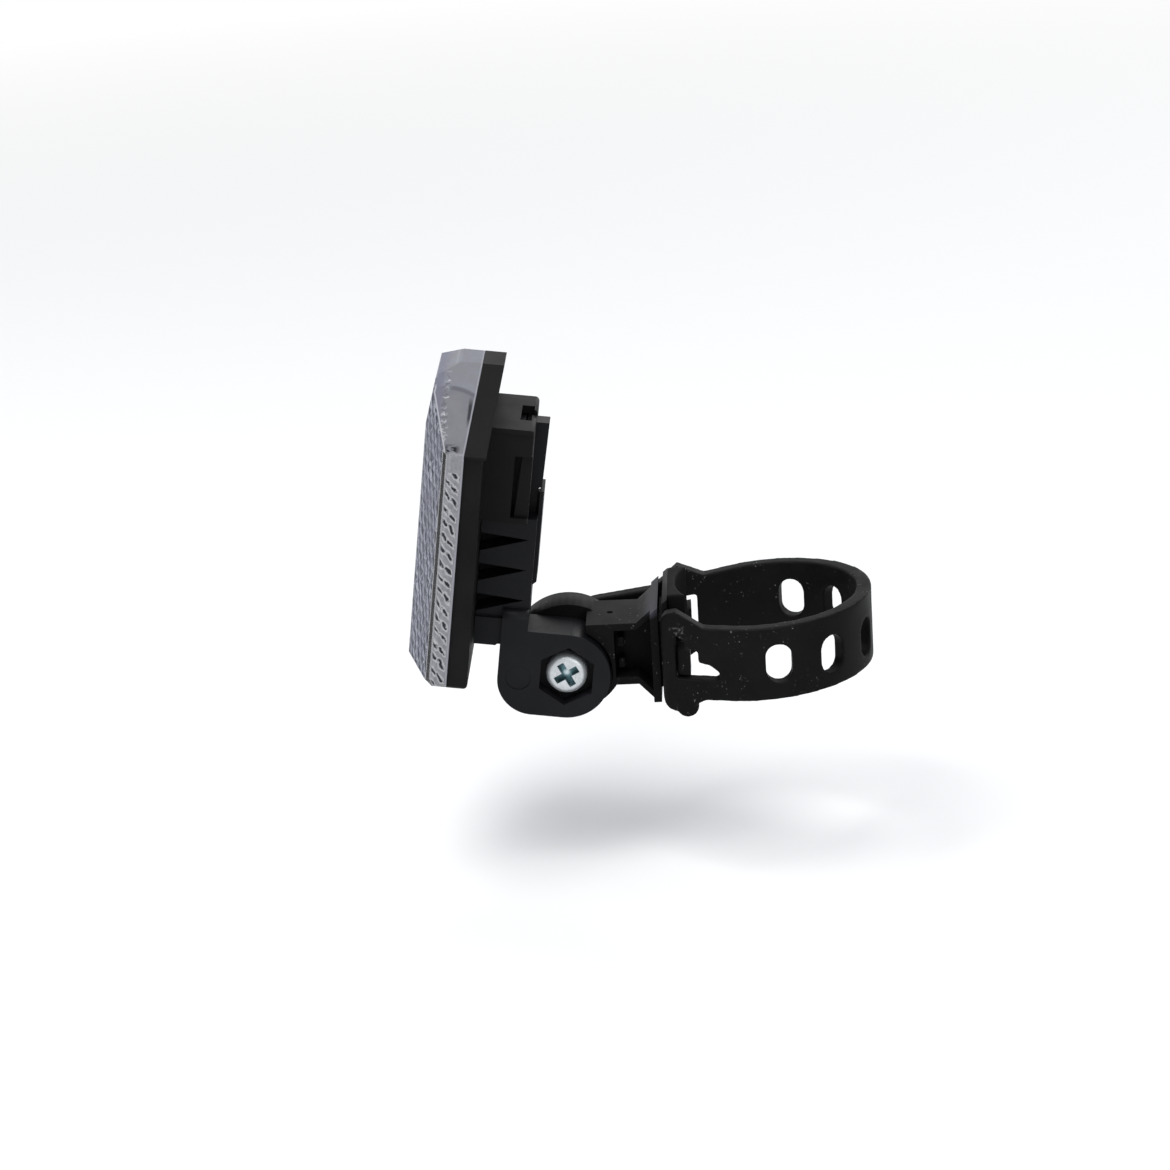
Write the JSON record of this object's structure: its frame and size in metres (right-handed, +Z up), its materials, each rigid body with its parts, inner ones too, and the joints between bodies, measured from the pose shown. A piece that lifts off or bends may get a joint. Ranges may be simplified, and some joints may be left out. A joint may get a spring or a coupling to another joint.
{
  "type": "bicycle front reflector",
  "caption": "Front reflector with a clear prism lens on a tilting arm and bracket, held on a tube by a stretched rubber strap.",
  "frame": {"origin": "on the axis of the tube that the strap goes round, at half the strap's height", "axes": "+Z up along the tube, -Y the way the reflector faces, +X to the side the screw's head is on"},
  "size_m": [0.046, 0.0897, 0.0738],
  "materials": {
    "lens": "clear moulded acrylic over prisms, reads pale grey",
    "housing": "fine moulded texture",
    "arm": "fine moulded texture",
    "screw": "bright zinc plating",
    "nut": "bright zinc plating",
    "bracket": "fine moulded texture",
    "pad": "matt moulded rubber",
    "strap": "satin moulded rubber, a little dust"
  },
  "bodies": {
    "clamp": {"tube_bracket": "bracket", "bracket_pad": "pad", "clamp_strap": "strap", "tilt_screw": "screw", "tilt_nut": "nut"},
    "reflector": {"tilt_arm": "arm", "reflector_housing": "housing", "reflector_lens": "lens"}
  },
  "joints": [
    {"name": "tilt", "type": "hinge", "parent": "clamp", "child": "reflector", "pos_m": [0, -0.0391, -0.0049], "axis": [1, 0, 0], "range_deg": [-22, 60]}
  ]
}
